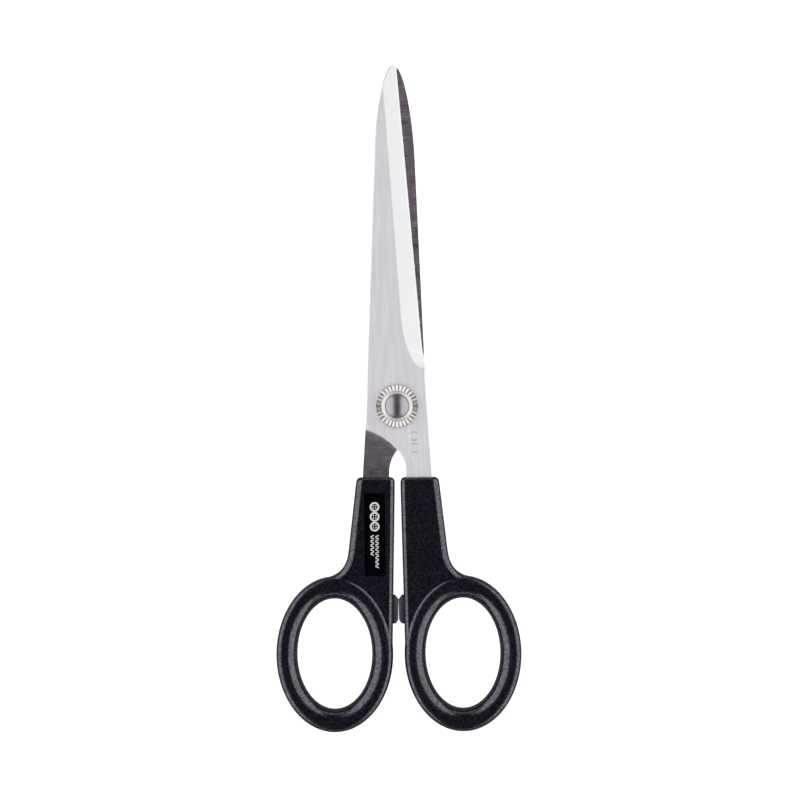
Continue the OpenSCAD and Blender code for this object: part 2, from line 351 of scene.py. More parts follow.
brushed_face = steel(
    "brushed_face", (0.76, 0.74, 0.78), (0.94, 0.92, 0.96),
    roughness=0.52, anisotropy=0.75, across="X", line_mm=0.14, length_mm=14, depth_um=3,
)
ground_bevel = steel(
    "ground_bevel", (0.79, 0.79, 0.79), (0.83, 0.83, 0.83),
    roughness=0.46, anisotropy=0.20, across="Y", line_mm=0.20, length_mm=6, depth_um=2,
)
ground_inner = steel(
    "ground_inner", (0.34, 0.28, 0.33), (0.99, 0.87, 0.96),
    roughness=0.42, anisotropy=0.75, across="Y", line_mm=0.30, length_mm=4, depth_um=6,
)

# %% Polished rivet and plated washers
def plated(name, colour, roughness, cloud):
    """Bright plating, a little cloudy from handling."""
    material, tree, shader = new_material(name)
    grain = use_group(tree, moulded_grain, object_coordinates(tree), Grain_mm=0.12)
    polish = between(tree, grain.outputs["Clouds"], roughness, roughness + cloud)
    wire(tree, polish, shader.inputs["Roughness"])
    paler = [min(1.0, c * 1.06) for c in colour]
    wire(tree, tint(tree, grain.outputs["Speckle"], colour, paler), shader.inputs["Base Color"])
    wire(tree, bump(tree, grain.outputs["Speckle"], 1.5e-6), shader.inputs["Normal"])
    shader.inputs["Metallic"].default_value = 1.0
    return material


polished_rivet = plated("polished_rivet", (0.40, 0.38, 0.41), 0.28, 0.08)
polished_flutes = plated("polished_flutes", (0.68, 0.65, 0.63), 0.20, 0.06)
bright_nickel = plated("bright_nickel", (0.98, 0.95, 0.95), 0.44, 0.10)

# %% [markdown]
# ## Plastics
#
# The handles are a satin black plastic whose grain is just visible, and whose sheen is
# slightly purple. The stop pads are a softer and duller rubber, and the label is a black
# gloss with plain white printing.

# %% Handle plastic, rubber, label
def moulding(name, dark, light, roughness, grain_mm, depth_um, gloss):
    """Grained plastic; gloss is how strongly its surface reflects, from 0 to 1."""
    material, tree, shader = new_material(name)
    grain = use_group(tree, moulded_grain, object_coordinates(tree), Grain_mm=grain_mm)
    speckle = between(tree, grain.outputs["Speckle"], 0, 1, 0.40, 0.60)
    wire(tree, tint(tree, speckle, dark, light), shader.inputs["Base Color"])
    mixed = math_node(tree, "MULTIPLY_ADD", grain.outputs["Clouds"], 0.5, 0.25)
    wire(tree, between(tree, mixed, roughness * 0.92, roughness * 1.08), shader.inputs["Roughness"])
    wire(tree, bump(tree, grain.outputs["Height"], depth_um * 1e-6), shader.inputs["Normal"])
    wire(tree, between(tree, speckle, gloss * 0.5, gloss * 1.1, 0, 1), shader.inputs["Specular IOR Level"])
    shader.inputs["IOR"].default_value = 1.75
    shader.inputs["Specular Tint"].default_value = (0.88, 0.83, 1.0, 1)
    return material


satin_black = moulding(
    "satin_black", (0.0, 0.0, 0.001), (0.007, 0.006, 0.010),
    roughness=0.205, grain_mm=0.50, depth_um=30, gloss=1.0,
)
dull_rubber = moulding(
    "dull_rubber", (0.012, 0.012, 0.015), (0.024, 0.024, 0.028),
    roughness=0.42, grain_mm=0.12, depth_um=6, gloss=0.8,
)
gloss_label = moulding(
    "gloss_label", (0.0005, 0.0005, 0.001), (0.001, 0.001, 0.0015),
    roughness=0.12, grain_mm=0.30, depth_um=1, gloss=0.3,
)
white_ink = moulding(
    "white_ink", (0.80, 0.80, 0.80), (0.90, 0.90, 0.90),
    roughness=0.45, grain_mm=0.15, depth_um=2, gloss=0.5,
)

# %% [markdown]
# ## The blades
#
# A blade starts as flat strip with a straight spine that rounds in to a blunt nose.
# The bevel is a plane ground along the edge by a wheel 120 mm across, which lifts out
# of the steel at the heel and leaves a curved run-out. It could be cut with booleans,
# but the run-out and the honed edge would come out as slivers. Pulling one section of
# eight corners from the tang to the nose follows every one of these lines. The outer
# corners are broken by a narrow slope, which shows as a thin bright line.

# %% Lines of the blade, seen from above
EDGE_LEAN, BEVEL_LEAN = math.radians(4.82), math.radians(4.03)
BEVEL_SLOPE, HONE_SLOPE = math.tan(math.radians(18)), math.tan(math.radians(34))
BEVEL_WIDTH, HONE_WIDTH = 4.83, 0.5
RUN_OUT_END, RUN_OUT_LENGTH, RUN_OUT_WIDTH = 9.7, 14.6, 5.4
EDGE_TOP, EDGE_HEEL = REACH - 1.2, 15.0
NOSE_RADIUS, NOSE_CUT = 0.75, 0.4
CROTCH, CROTCH_RADIUS, WIDE_RADIUS = Vector((-7.05, -17.9)), 9.3, 17.5
CROTCH_TURN = math.radians(41.6)
WIDE = CROTCH - (WIDE_RADIUS - CROTCH_RADIUS) * Vector((math.cos(CROTCH_TURN), math.sin(CROTCH_TURN)))
CROTCH_JOIN = CROTCH.y + CROTCH_RADIUS * math.sin(CROTCH_TURN)
SPINE_FOOT = Vector((-8.55, WIDE.y + math.sqrt(WIDE_RADIUS ** 2 - (-8.55 - WIDE.x) ** 2)))


def along(stations, y):
    """Straight-line interpolation through a short list of (y, x) stations, y rising."""
    if y <= stations[0][0]:
        return stations[0][1]
    for (y0, x0), (y1, x1) in zip(stations, stations[1:]):
        if y <= y1:
            return x0 + (x1 - x0) * (y - y0) / (y1 - y0)
    return stations[-1][1]


def edge_x(y):
    return 0.55 + (EDGE_TOP - y) * math.tan(EDGE_LEAN)


def bevel_x(y):
    """Inner edge of the bevel, which runs out to the cutting edge in a quarter ellipse."""
    line = edge_x(30) - BEVEL_WIDTH - (y - 30) * math.tan(BEVEL_LEAN)
    share = min(max(RUN_OUT_END + RUN_OUT_LENGTH - y, 0) / RUN_OUT_LENGTH, 1)
    return line + RUN_OUT_WIDTH * (1 - math.sqrt(1 - share ** 2))


class Outline:
    """Left and right side of one blade, by height; the rear blade is a little slimmer."""

    def __init__(self, reach, heel_half, tip_length):
        self.reach, self.heel_half, self.tip_length = reach, heel_half, tip_length
        self.tip_y, self.ellipse = reach - tip_length, tip_length + NOSE_CUT

    def spine(self, y):
        """Tang, crotch arcs, spine and rounded point."""
        if y < CROTCH.y:
            return along([(-46, 4.0), (-44, 3.2), (CROTCH.y, 2.3)], y)
        if y < CROTCH_JOIN:
            return CROTCH.x + math.sqrt(CROTCH_RADIUS ** 2 - (y - CROTCH.y) ** 2)
        if y < SPINE_FOOT.y:
            return WIDE.x + math.sqrt(WIDE_RADIUS ** 2 - (y - WIDE.y) ** 2)
        if y < 11:
            return along([(SPINE_FOOT.y, SPINE_FOOT.x), (11, -self.heel_half)], y)
        half = self.heel_half - 0.0404 * (y - 11)
        return -half * math.sqrt(1 - (max(y - self.tip_y, 0) / self.ellipse) ** 2)

    def cutting(self, y):
        """Tang, shoulder, heel, cutting edge and nose."""
        if y < EDGE_HEEL:
            return along([(-46, 7.8), (-44, 8.6), (-19.3, 9.45), (4, 7.9), (9.5, 7.6), (13.6, 7.35),
                          (EDGE_HEEL, edge_x(EDGE_HEEL))], y)
        nose_y = self.reach - NOSE_RADIUS
        if y < nose_y:
            return max(edge_x(y), 0.55)
        return 0.55 - NOSE_RADIUS + math.sqrt(max(NOSE_RADIUS ** 2 - (y - nose_y) ** 2, 0))


front_outline = Outline(REACH, 8.0, 20.4)
rear_outline = Outline(REACH - 0.55, 7.55, 25.2)


def top_z(x, y):
    """Height of the outer face or bevel above the inner face."""
    return min(THICK, THICK - BEVEL_SLOPE * (x - bevel_x(y)))

# %% Section of the blade at one station
SOFT, DROP, CRISP = 0.26, 0.13, 0.02      # width and drop of the outer corners, size of the inner ones
OUTER, BEVEL, INNER = 0, 1, 2
STRIPS = [OUTER, OUTER, BEVEL, OUTER, BEVEL, BEVEL, OUTER, INNER]


def side_normal(side, y, sign):
    """Outward normal of a side line, as seen from above."""
    step = 0.01
    run = Vector((side(y + step) - side(y - step), 2 * step)).normalized()
    return Vector((run.y, -run.x)) * sign


def blade_section(outline, y):
    """Eight corners, from the inner face round the spine and over to the cutting edge."""
    left = Vector((outline.spine(y), y))
    inward = -side_normal(outline.spine, min(y, outline.reach - 0.05), -1)
    soft, crisp = left + inward * SOFT, left + inward * CRISP
    right = outline.cutting(y)
    hone = HONE_WIDTH if y > EDGE_HEEL else along([(RUN_OUT_END, SOFT), (EDGE_HEEL, HONE_WIDTH)], y)
    hone_x = max(right - hone, soft.x + 0.04)
    bevel_in = min(max(bevel_x(y), soft.x + 0.02), hone_x - 0.01)
    hone_z = top_z(hone_x, y)
    drop = hone * (HONE_SLOPE if y > EDGE_HEEL else DROP / SOFT)
    return [
        (crisp.x, crisp.y, 0),
        (left.x, left.y, CRISP),
        (left.x, left.y, top_z(left.x, y) - DROP),
        (soft.x, soft.y, top_z(soft.x, y)),
        (bevel_in, y, top_z(bevel_in, y)),
        (hone_x, y, hone_z),
        (right, y, max(hone_z - drop, 0.03)),
        (right, y, 0),
    ]

# %% [markdown]
# The stations stand close together where a line bends, at the crotch, the run-out and
# the rounded point, and far apart where it is straight.

# %% Blade mesh
def blade_stations(outline):
    """Heights at which the section is drawn, from the tang's end to the nose."""
    tang = [-46, -44, -22]
    tight = [CROTCH.y + CROTCH_RADIUS * math.sin(CROTCH_TURN * i / 9) for i in range(10)]
    first = math.asin((CROTCH_JOIN - WIDE.y) / WIDE_RADIUS)
    last = math.asin((SPINE_FOOT.y - WIDE.y) / WIDE_RADIUS)
    wide = [WIDE.y + WIDE_RADIUS * math.sin(first + (last - first) * i / 12) for i in range(1, 13)]
    heel = [-3, 4, 9.5]
    run_out = [RUN_OUT_END + RUN_OUT_LENGTH * (1 - math.sin(math.radians(90 - a))) for a in range(6, 91, 6)]
    heel_step = [11, 13.6, 14.3, EDGE_HEEL]
    blade = [30, 40, 50, 60]
    turn = math.asin(outline.tip_length / outline.ellipse)
    point = [outline.tip_y + outline.ellipse * math.sin(turn * i / 24) for i in range(24)]
    nose = [outline.reach - NOSE_RADIUS * (1 - math.sin(math.radians(a))) for a in (0, 20, 40, 60, 75, 90)]
    return sorted(set(tang + tight + wide + heel + run_out + heel_step + blade + point + nose))


def blade_shape(outline):
    bm = bmesh.new()
    stations = blade_stations(outline)
    lift = Vector((0, 0, GAP))
    loop = start_loop(bm, [Vector(p) + lift for p in blade_section(outline, stations[0])])
    bm.faces.new(loop)
    for y in stations[1:]:
        loop = pull_loop(bm, loop, [Vector(p) + lift for p in blade_section(outline, y)], STRIPS)
    bm.faces.new(loop)
    return bm


def round_cutter(x, y, radius, low, high, segments=64):
    """A plain round punch through a blade."""
    bm = bmesh.new()
    bmesh.ops.create_cone(
        bm, cap_ends=True, segments=segments, radius1=radius, radius2=radius, depth=high - low
    )
    bmesh.ops.translate(bm, verts=bm.verts, vec=(x, y, (low + high) / 2))
    return bm


def blade_punches(turned):
    """The pivot's bore and the two holes that lock the handle to the tang."""
    side = -1 if turned else 1
    places = [(0, 0, 2.03), (5.9 * side, -27, 1.6), (5.9 * side, -39, 1.6)]
    return [round_cutter(x, y, r, -3, 3) for x, y, r in places]


for name, body, outline in (
    ("front_blade", "front_half", front_outline),
    ("rear_blade", "rear_half", rear_outline),
):
    turned = outline is rear_outline
    piece = set_down(
        f"{name}_steel", blade_shape(outline), [brushed_face, ground_bevel, ground_inner],
        body, [name], turned=turned, sharp=11,
    )
    cut(piece, blade_punches(turned))

# %% [markdown]
# ## The handles
#
# Each handle is a flat neck that flows into an oval finger loop. The loop is the
# crown, with a rounded outer edge and a mouth that rolls into the finger hole, and the
# neck's faces lie a little lower, so the loop's edge stands up as a soft crease.
# A sculpted or remeshed lump would lose that crease. Here the loop's section is pulled
# through ellipses of growing size, a window is opened in its outer wall, and the
# neck is pulled out of the window row by row, all in four-sided faces.

# %% Measures of the handle
LOOP = Vector((LOOP_OUTSIDE - 15.8, LOOP_BOTTOM + 21))
HOLE = Vector((LOOP.x, LOOP.y + 0.15))
LOOP_SIZE, HOLE_SIZE = Vector((15.8, 21)), Vector((10.1, 14.9))
WALL = LOOP_SIZE.x - HOLE_SIZE.x        # width of the loop's band
MOUTH, WAIST, ROUND = 2.8, 0.8, 1.3
AROUND = 96                             # stations round the loop
INNER_EDGE, OUTER_EDGE = (1.0, 1.0), (1.5, 1.2)      # (width, drop) of the neck's rounded edges
NECK_TOP, NECK_INNER_TOP, NECK_INNER_FOOT = -19.2, Vector((0.75, -20.4)), Vector((1.6, -66.0))
NECK_OUTER_TOP, NECK_OUTER_FOOT = Vector((11.25, -20.4)), Vector((13.5, -39.8))
HOLLOW, HOLLOW_RADIUS = Vector((20.1, -39.55)), 6.6


def loop_section():
    """(way from hole to outside, height) down the section's upper half, from waist to wall."""
    mouth = [(MOUTH * (1 - math.cos(a)), WAIST + (CREST - WAIST) * math.sin(a))
             for a in (math.radians(d) for d in (0, 18, 36, 54, 72, 90))]
    crest = [(WALL - ROUND - 0.55, CREST), (WALL - ROUND, CREST)]
    edge = [(WALL - ROUND + ROUND * math.sin(a), CREST - ROUND + ROUND * math.cos(a))
            for a in (math.radians(25), RIM_ANGLE, math.radians(70), math.radians(90))]
    return mouth + crest + edge


# the neck's face meets the loop's rounded edge at this angle round the rounding
RIM_ANGLE = math.acos((FACE - CREST + ROUND) / ROUND)


def loop_spot(way, z, station):
    """A point on the loop, at a station counted round from the +X side."""
    a = 2 * math.pi * station / AROUND
    share = way / WALL
    centre = HOLE.lerp(LOOP, share)
    size = HOLE_SIZE.lerp(LOOP_SIZE, share)
    return Vector((centre.x + size.x * math.cos(a), centre.y + size.y * math.sin(a), z))

# %% The loop, with a window for the neck
FIRST, LAST = 22, 46          # stations of the window, from the hollow round to the inner wall


def finger_loop(bm):
    """Builds the loop and returns the ordered rim of the window in its outer wall."""
    upper = loop_section()
    section = upper + [(WALL, 0)] + [(w, -z) for w, z in reversed(upper)]
    loops = [start_loop(bm, [loop_spot(*section[0], i) for i in range(AROUND)])]
    for way, z in section[1:]:
        loops.append(pull_loop(bm, loops[-1], [loop_spot(way, z, i) for i in range(AROUND)]))
    ends = [bm.edges.get((ring[i - 1], ring[i])) for ring in (loops[0], loops[-1]) for i in range(AROUND)]
    bmesh.ops.bridge_loops(bm, edges=ends)
    above = len(upper) - 3
    below = len(section) - 1 - above
    window = [
        bm.faces.get((loops[k][i], loops[k][i + 1], loops[k + 1][i + 1], loops[k + 1][i]))
        for k in range(above, below) for i in range(FIRST, LAST)
    ]
    bmesh.ops.delete(bm, geom=window, context="FACES")
    top = [loops[above][i] for i in range(FIRST, LAST + 1)]
    inner = [loops[k][LAST] for k in range(above + 1, below)]
    under = [loops[below][i] for i in range(LAST, FIRST - 1, -1)]
    outer = [loops[k][FIRST] for k in range(below - 1, above, -1)]
    return top + inner + under + outer

# %% [markdown]
# The neck is stretched between four lines: the loop's crown below, the top end above,
# the straight inner wall and the outer wall with its hollow. A point inside is found
# from the four lines together, as on a boat's planking.

# %% Rows of the neck
COLUMNS = LAST - FIRST
hollow_start = math.atan2(NECK_OUTER_FOOT.y - HOLLOW.y, NECK_OUTER_FOOT.x - HOLLOW.x)


def outer_line(v):
    """The outer wall from the window (v = 0) up to the top end (v = 1), with its normal."""
    foot = loop_spot(WALL, 0, FIRST).xy
    end = math.atan2(foot.y - HOLLOW.y, foot.x - HOLLOW.x)
    begin = hollow_start if hollow_start < 0 else hollow_start - 2 * math.pi
    arc_length = HOLLOW_RADIUS * abs(end - begin)
    straight = (NECK_OUTER_TOP - NECK_OUTER_FOOT).length
    way = v * (arc_length + straight)
    if way < arc_length:
        a = end + (begin - end) * way / arc_length
        spoke = Vector((math.cos(a), math.sin(a)))
        drift = foot - (HOLLOW + HOLLOW_RADIUS * Vector((math.cos(end), math.sin(end))))
        return HOLLOW + HOLLOW_RADIUS * spoke + drift * (1 - way / arc_length), -spoke
    run = (NECK_OUTER_TOP - NECK_OUTER_FOOT).normalized()
    return NECK_OUTER_FOOT + run * (way - arc_length), Vector((run.y, -run.x))


def inner_line(v):
    """The inner wall from the window up to the top end, with its normal."""
    foot = loop_spot(WALL, 0, LAST).xy
    run = NECK_INNER_TOP - NECK_INNER_FOOT
    spot = foot.lerp(NECK_INNER_TOP, v)
    return spot, Vector((-run.y, run.x)).normalized()


def edge_profile(edge, ease):
    """How far the face stops short of a wall, and (inset, height) of five points down that wall."""
    rim_inset, rim_wall = ROUND * (1 - math.sin(RIM_ANGLE)), CREST - ROUND
    inset = rim_inset + (edge[0] - rim_inset) * ease
    wall_z = rim_wall + (FACE - edge[1] - rim_wall) * ease
    half = math.sqrt(0.5)
    corner = inset * (1 - half), wall_z + (FACE - wall_z) * half
    return inset, [corner, (0, wall_z), (0, 0), (0, -wall_z), (corner[0], -corner[1])]


def neck_row(v):
    """One closed row of the neck, in the order of the window's rim."""
    ease = min(v / 0.06, 1.0)
    (outer, outer_normal), (inner, inner_normal) = outer_line(v), inner_line(v)
    outer_inset, outer_profile = edge_profile(OUTER_EDGE, ease)
    inner_inset, inner_profile = edge_profile(INNER_EDGE, ease)
    left, right = outer - outer_normal * outer_inset, inner - inner_normal * inner_inset
    rim = WALL - edge_profile(INNER_EDGE, 0)[0]
    rim_left, rim_right = (loop_spot(rim, 0, s).xy for s in (FIRST, LAST))
    face = []
    for i in range(COLUMNS + 1):
        u = i / COLUMNS
        bulge = loop_spot(rim, 0, FIRST + i).xy - rim_left.lerp(rim_right, u)
        face.append(left.lerp(right, u) + bulge * (1 - v) ** 1.6)
    inner_side = [(*(inner - inner_normal * d), z) for d, z in inner_profile]
    outer_side = [(*(outer - outer_normal * d), z) for d, z in reversed(outer_profile)]
    top = [(*p, FACE) for p in face]
    under = [(*p, -FACE) for p in reversed(face)]
    return top + inner_side + under + outer_side

# %% [markdown]
# The top end is rounded over, and closed by a face with the slot that the tang goes
# into. The slot is pulled down as deep as the real tang, so the handle is the solid
# that would come out of the mould.

# %% Top end and the tang's seat
def shrunk(row, y, inset):
    """The last row moved to height y and drawn in by inset on every side."""
    xs = [p[0] for p in row]
    middle, half = (max(xs) + min(xs)) / 2, (max(xs) - min(xs)) / 2
    share_x, share_z = (half - inset) / half, (FACE - inset) / FACE
    return [(middle + (x - middle) * share_x, y, z * share_z) for x, _, z in row]


def seat_row(y, low_x, high_x, play=0.02):
    """The tang's seat at height y, in the same order as a row of the neck."""
    low_z, high_z = GAP - play, GAP + THICK + play
    across = [high_x + play + (low_x - high_x - 2 * play) * i / COLUMNS for i in range(COLUMNS + 1)]
    down = [high_z + (low_z - high_z) * i / 6 for i in range(1, 6)]
    top = [(x, y, high_z) for x in across]
    inner = [(low_x - play, y, z) for z in down]
    under = [(x, y, low_z) for x in reversed(across)]
    outer = [(high_x + play, y, z) for z in reversed(down)]
    return top + inner + under + outer


def handle_shape():
    bm = bmesh.new()
    row = finger_loop(bm)
    for v in (0.008, 0.025, 0.06, 0.11, 0.17, 0.24, 0.32, 0.40, 0.48, 0.57, 0.66, 0.76, 0.86, 0.95, 1.0):
        row = pull_loop(bm, row, neck_row(v))
    last = neck_row(1.0)
    for share in (30, 60, 90):
        a = math.radians(share)
        lift_y, inset = math.sin(a) * 1.2, (1 - math.cos(a)) * 1.2
        row = pull_loop(bm, row, shrunk(last, NECK_INNER_TOP.y + lift_y, inset))
    creases = bm.edges.layers.float.new("crease_edge")
    for y, low_x, high_x in ((NECK_TOP, 2.27, 9.45), (-44, 3.2, 8.6), (-46, 4.0, 7.8)):
        row = pull_loop(bm, row, seat_row(y, low_x, high_x))
        for a, b in zip(row, row[1:] + row[:1]):
            bm.edges.get((a, b))[creases] = 1.0
    bm.faces.new(row)
    return bm


for name, body, turned in (("handle_right", "front_half", False), ("handle_left", "rear_half", True)):
    set_down(f"{name}_moulding", handle_shape(), [satin_black], body, [name],
             turned=turned, subdivide=2, sharp=0)

# %% [markdown]
# ## The pivot
#
# One rivet holds the blades. Its polished dome sits in a finishing washer, whose
# rolled collar, fluted skirt and thin rim are pressed from sheet. All of them are
# turned shapes, so each is a profile spun round the pivot. The flutes are a wave
# pressed into the skirt after it is spun. The collar is satin, the skirt is polished,
# and the rim is brushed like the blade that it lies on.

# %% Spin a profile round the pivot
def turned_shape(profile, steps=192):
    """A closed solid of revolution; profile is (radius, height), and may start on the axis."""
    bm = bmesh.new()
    line = [bm.verts.new((r, 0, z)) for r, z in profile]
    for a, b in zip(line, line[1:]):
        bm.edges.new((a, b))
    if profile[0][0] > 0:
        bm.edges.new((line[-1], line[0]))
    bmesh.ops.spin(bm, geom=bm.verts[:] + bm.edges[:], cent=(0, 0, 0), axis=(0, 0, 1),
                   angle=2 * math.pi, steps=steps, use_merge=True)
    bmesh.ops.remove_doubles(bm, verts=bm.verts, dist=1e-4)
    return bm


def arc_profile(centre, radius, begin, end, count):
    """Points on an arc in the (radius, height) plane, angles in degrees."""
    return [
        (centre[0] + radius * math.cos(math.radians(begin + (end - begin) * i / count)),
         centre[1] + radius * math.sin(math.radians(begin + (end - begin) * i / count)))
        for i in range(count + 1)
    ]

# %% Fluted washer
SEAT = (washer_low.z - PIVOT.z) / MM
FLUTES, FLUTE_STEPS = 32, 12
SKIRT_IN, SKIRT_OUT = 4.15, 5.78
FLANK, VALLEY = 0.45, 1.7     # slopes of a flute's ridge and of the groove beside it


def flute(radius, angle):
    """Height that the flutes add to the skirt: broad ridges with narrow deep grooves between."""
    share = (radius - SKIRT_IN) / (SKIRT_OUT - SKIRT_IN)
    if not 0 < share < 1:
        return 0
    across = abs((FLUTES * angle / math.pi + 1) % 2 - 1)        # 0 on a ridge, 1 in a groove
    fall = FLANK * across + (VALLEY - FLANK) * max(across - 0.64, 0)
    ends = min(share / 0.10, 1) * min((1 - share) / 0.08, 1)
    return ends * (0.12 + 0.20 * share - fall * math.pi * radius / FLUTES)


def washer_shape():
    skirt = [(SKIRT_IN + (SKIRT_OUT - SKIRT_IN) * i / 10, 0.80 - 0.40 * i / 10) for i in range(11)]
    profile = (
        [(2.05, 0), (6.15, 0), (6.2, 0.05), (6.2, 0.2), (6.12, 0.28), (5.86, 0.3)]
        + skirt[::-1]
        + [(4.08, 0.86)] + arc_profile((3.66, 0.98), 0.42, 0, 180, 14) + [(3.24, 0.7), (2.05, 0.7)]
    )
    bm = turned_shape(profile, steps=FLUTES * FLUTE_STEPS)
    for vert in bm.verts:
        vert.co.z += flute(vert.co.xy.length, math.atan2(vert.co.y, vert.co.x)) * (vert.co.z > 0.3)
    for face in bm.faces:
        middle = face.calc_center_median()
        radius = middle.xy.length
        face.material_index = 0 if radius < SKIRT_IN or middle.z < 0.1 else 1 if radius < SKIRT_OUT else 2
    bmesh.ops.translate(bm, verts=bm.verts, vec=(0, 0, SEAT))
    return bm


set_down("fluted_washer_plate", washer_shape(), [bright_nickel, polished_flutes, brushed_face], "rear_half",
         ["fluted_washer"], sharp=35)

# %% Domed rivet
HEAD, SHANK = 3.16, 2.0
RIVET_LOW, RIVET_HIGH = (rivet_low.z - PIVOT.z) / MM, (rivet_high.z - PIVOT.z) / MM
BACK = -GAP - THICK
WASHER_UNDER = 0.5


def dome_profile(radius, height, base, count=14):
    """A spherical cap from its centre out to its rim."""
    ball = (radius ** 2 + height ** 2) / (2 * height)
    reach = math.asin(radius / ball)
    return [(ball * math.sin(reach * i / count), base + height - ball * (1 - math.cos(reach * i / count)))
            for i in range(count + 1)]


def rivet_shape():
    rim = SEAT + 0.7
    crown = RIVET_HIGH - (rim + 0.4)
    head = dome_profile(HEAD, crown, rim + 0.4)
    tail_top = BACK - WASHER_UNDER
    tail_base = tail_top - 0.12
    tail = [(r, 2 * tail_base - z) for r, z in dome_profile(2.9, tail_base - RIVET_LOW, tail_base, 10)]
    return turned_shape(head + [(HEAD, rim), (SHANK, rim), (SHANK, tail_top), (2.9, tail_top)] + tail[::-1])


set_down("pivot_rivet_polished", rivet_shape(), [polished_rivet], "rear_half",
         ["pivot_rivet"], sharp=40)

# %% Plain washer under the tail
def back_washer_shape():
    low = BACK - WASHER_UNDER
    return turned_shape([
        (SHANK, low), (4.1, low), (4.2, low + 0.1), (4.2, BACK - 0.1), (4.1, BACK), (SHANK, BACK),
    ], steps=96)


set_down("back_washer_plate", back_washer_shape(), [bright_nickel], "rear_half",
         ["back_washer"], sharp=40)

# %% [markdown]
# ## Stop pads and label
#
# A stop pad is a small block of rubber pressed into the handle's inner wall, so that
# the closing loops meet softly. Its outline has a slanted top, and is pulled up into a
# block whose edges are all rounded. The label is a thin plate with rounded corners.

# %% Stop pads
PAD_TOP, PAD_FOOT = (bumper_high.y - PIVOT.y) / MM, (bumper_low.y - PIVOT.y) / MM
PAD_HALF = (bumper_high.z - bumper_low.z) / MM / 2


def wall_x(y):
    share = (NECK_INNER_TOP.y - y) / (NECK_INNER_TOP.y - NECK_INNER_FOOT.y)
    return NECK_INNER_TOP.x + share * (NECK_INNER_FOOT.x - NECK_INNER_TOP.x)


def pad_shape():
    """A block whose slanted top ends at the middle, and whose front leans away to a chamfered foot."""
    sunk = 0.4
    outline = [
        (wall_x(PAD_TOP) + sunk, PAD_TOP),
        (0.9, PAD_TOP - 0.1),
        (0.008, PAD_TOP - 1.3),
        (0.10, PAD_FOOT + 1.1),
        (0.75, PAD_FOOT + 0.1),
        (wall_x(PAD_FOOT) + sunk, PAD_FOOT),
    ]
    bm = bmesh.new()
    face = bm.faces.new([bm.verts.new((x, y, -PAD_HALF)) for x, y in outline])
    made = bmesh.ops.extrude_face_region(bm, geom=[face])["geom"]
    lifted = [v for v in made if isinstance(v, bmesh.types.BMVert)]
    bmesh.ops.translate(bm, verts=lifted, vec=(0, 0, 2 * PAD_HALF))
    bmesh.ops.bevel(bm, geom=bm.edges[:], offset=0.14, affect="EDGES", segments=3, profile=0.5, material=-1)
    return bm


for name, body, turned in (("stop_pad_right", "front_half", False), ("stop_pad_left", "rear_half", True)):
    set_down(f"{name}_rubber", pad_shape(), [dull_rubber], body, [name],
             turned=turned, sharp=50)

# %% Label plate
LABEL = ((plate_low + plate_high) / 2 - PIVOT).xy / MM
LABEL_W, LABEL_L = (plate_high.x - plate_low.x) / MM, (plate_high.y - plate_low.y) / MM
LABEL_TOP = (plate_high.z - PIVOT.z) / MM


def plate(x, y, width, length, low, high, corner, soft):
    """A flat plate with rounded corners and slightly rounded upper edges."""
    bm = bmesh.new()
    bmesh.ops.create_cube(bm, size=1)
    bmesh.ops.scale(bm, verts=bm.verts, vec=(width, length, high - low))
    bmesh.ops.translate(bm, verts=bm.verts, vec=(x, y, (low + high) / 2))
    upright = [e for e in bm.edges if abs(e.verts[0].co.z - e.verts[1].co.z) > (high - low) / 2]
    bmesh.ops.bevel(bm, geom=upright, offset=corner, affect="EDGES", segments=6, profile=0.5, material=-1)
    if soft:
        rim = [e for e in bm.edges if all(v.co.z > high - 1e-4 for v in e.verts)]
        bmesh.ops.bevel(bm, geom=rim, offset=soft, affect="EDGES", segments=2, profile=0.5, material=-1)
    return bm


label_body = plate(LABEL.x, LABEL.y, LABEL_W, LABEL_L, FACE - 0.05, LABEL_TOP - 0.015, corner=0.5, soft=0.04)
set_down("label_plate", label_body, [gloss_label], "rear_half", ["label"], sharp=20)

# %% [markdown]
# The printing is a sewing motif of its own: three shirt buttons above two columns of
# slanted stitches. It could be painted in the label's material by formula, but shapes a
# fiftieth of a millimetre high keep a crisp edge in every view and in the export.

# %% Button-and-stitches motif
def add_to(bm, other):
    """Copies one bmesh into another."""
    mesh = bpy.data.meshes.new("joined")
    other.to_mesh(mesh)
    other.free()
    bm.from_mesh(mesh)
    bpy.data.meshes.remove(mesh)


def button(bm, x, y, radius, low, high):
    """A ring with four holes shown as dots."""
    inside = radius * 0.66
    ring = turned_shape([(inside, low), (radius, low), (radius, high), (inside, high)], steps=48)
    bmesh.ops.translate(ring, verts=ring.verts, vec=(x, y, 0))
    add_to(bm, ring)
    spread = radius * 0.26
    for dx, dy in ((1, 1), (-1, 1), (-1, -1), (1, -1)):
        add_to(bm, round_cutter(x + dx * spread, y + dy * spread, radius * 0.15, low, high, 16))


def stitches(bm, x, top, width, count, low, high):
    """A column of short slanted stitches, one over the other."""
    for i in range(count):
        bar = plate(0, 0, width, 0.26, low, high, 0.08, 0)
        slant = Matrix.Rotation(0.38 * (-1) ** i, 3, "Z")
        bmesh.ops.rotate(bar, verts=bar.verts, cent=(0, 0, 0), matrix=slant)
        bmesh.ops.translate(bar, verts=bar.verts, vec=(x, top - 0.25 - 0.56 * i, 0))
        add_to(bm, bar)


def label_motif():
    bm = bmesh.new()
    low, high = LABEL_TOP - 0.02, LABEL_TOP
    left, top = LABEL.x - LABEL_W / 2, LABEL.y + LABEL_L / 2
    for i in range(3):
        button(bm, left + 2.95, top - 3.7 - 2.65 * i, 1.3, low, high)
    for x, count in ((left + 2.25, 10), (left + 3.55, 16)):
        stitches(bm, x, top - 11.3, 0.95, count, low, high)
    return bm


set_down("label_print", label_motif(), [white_ink], "rear_half", sharp=20)

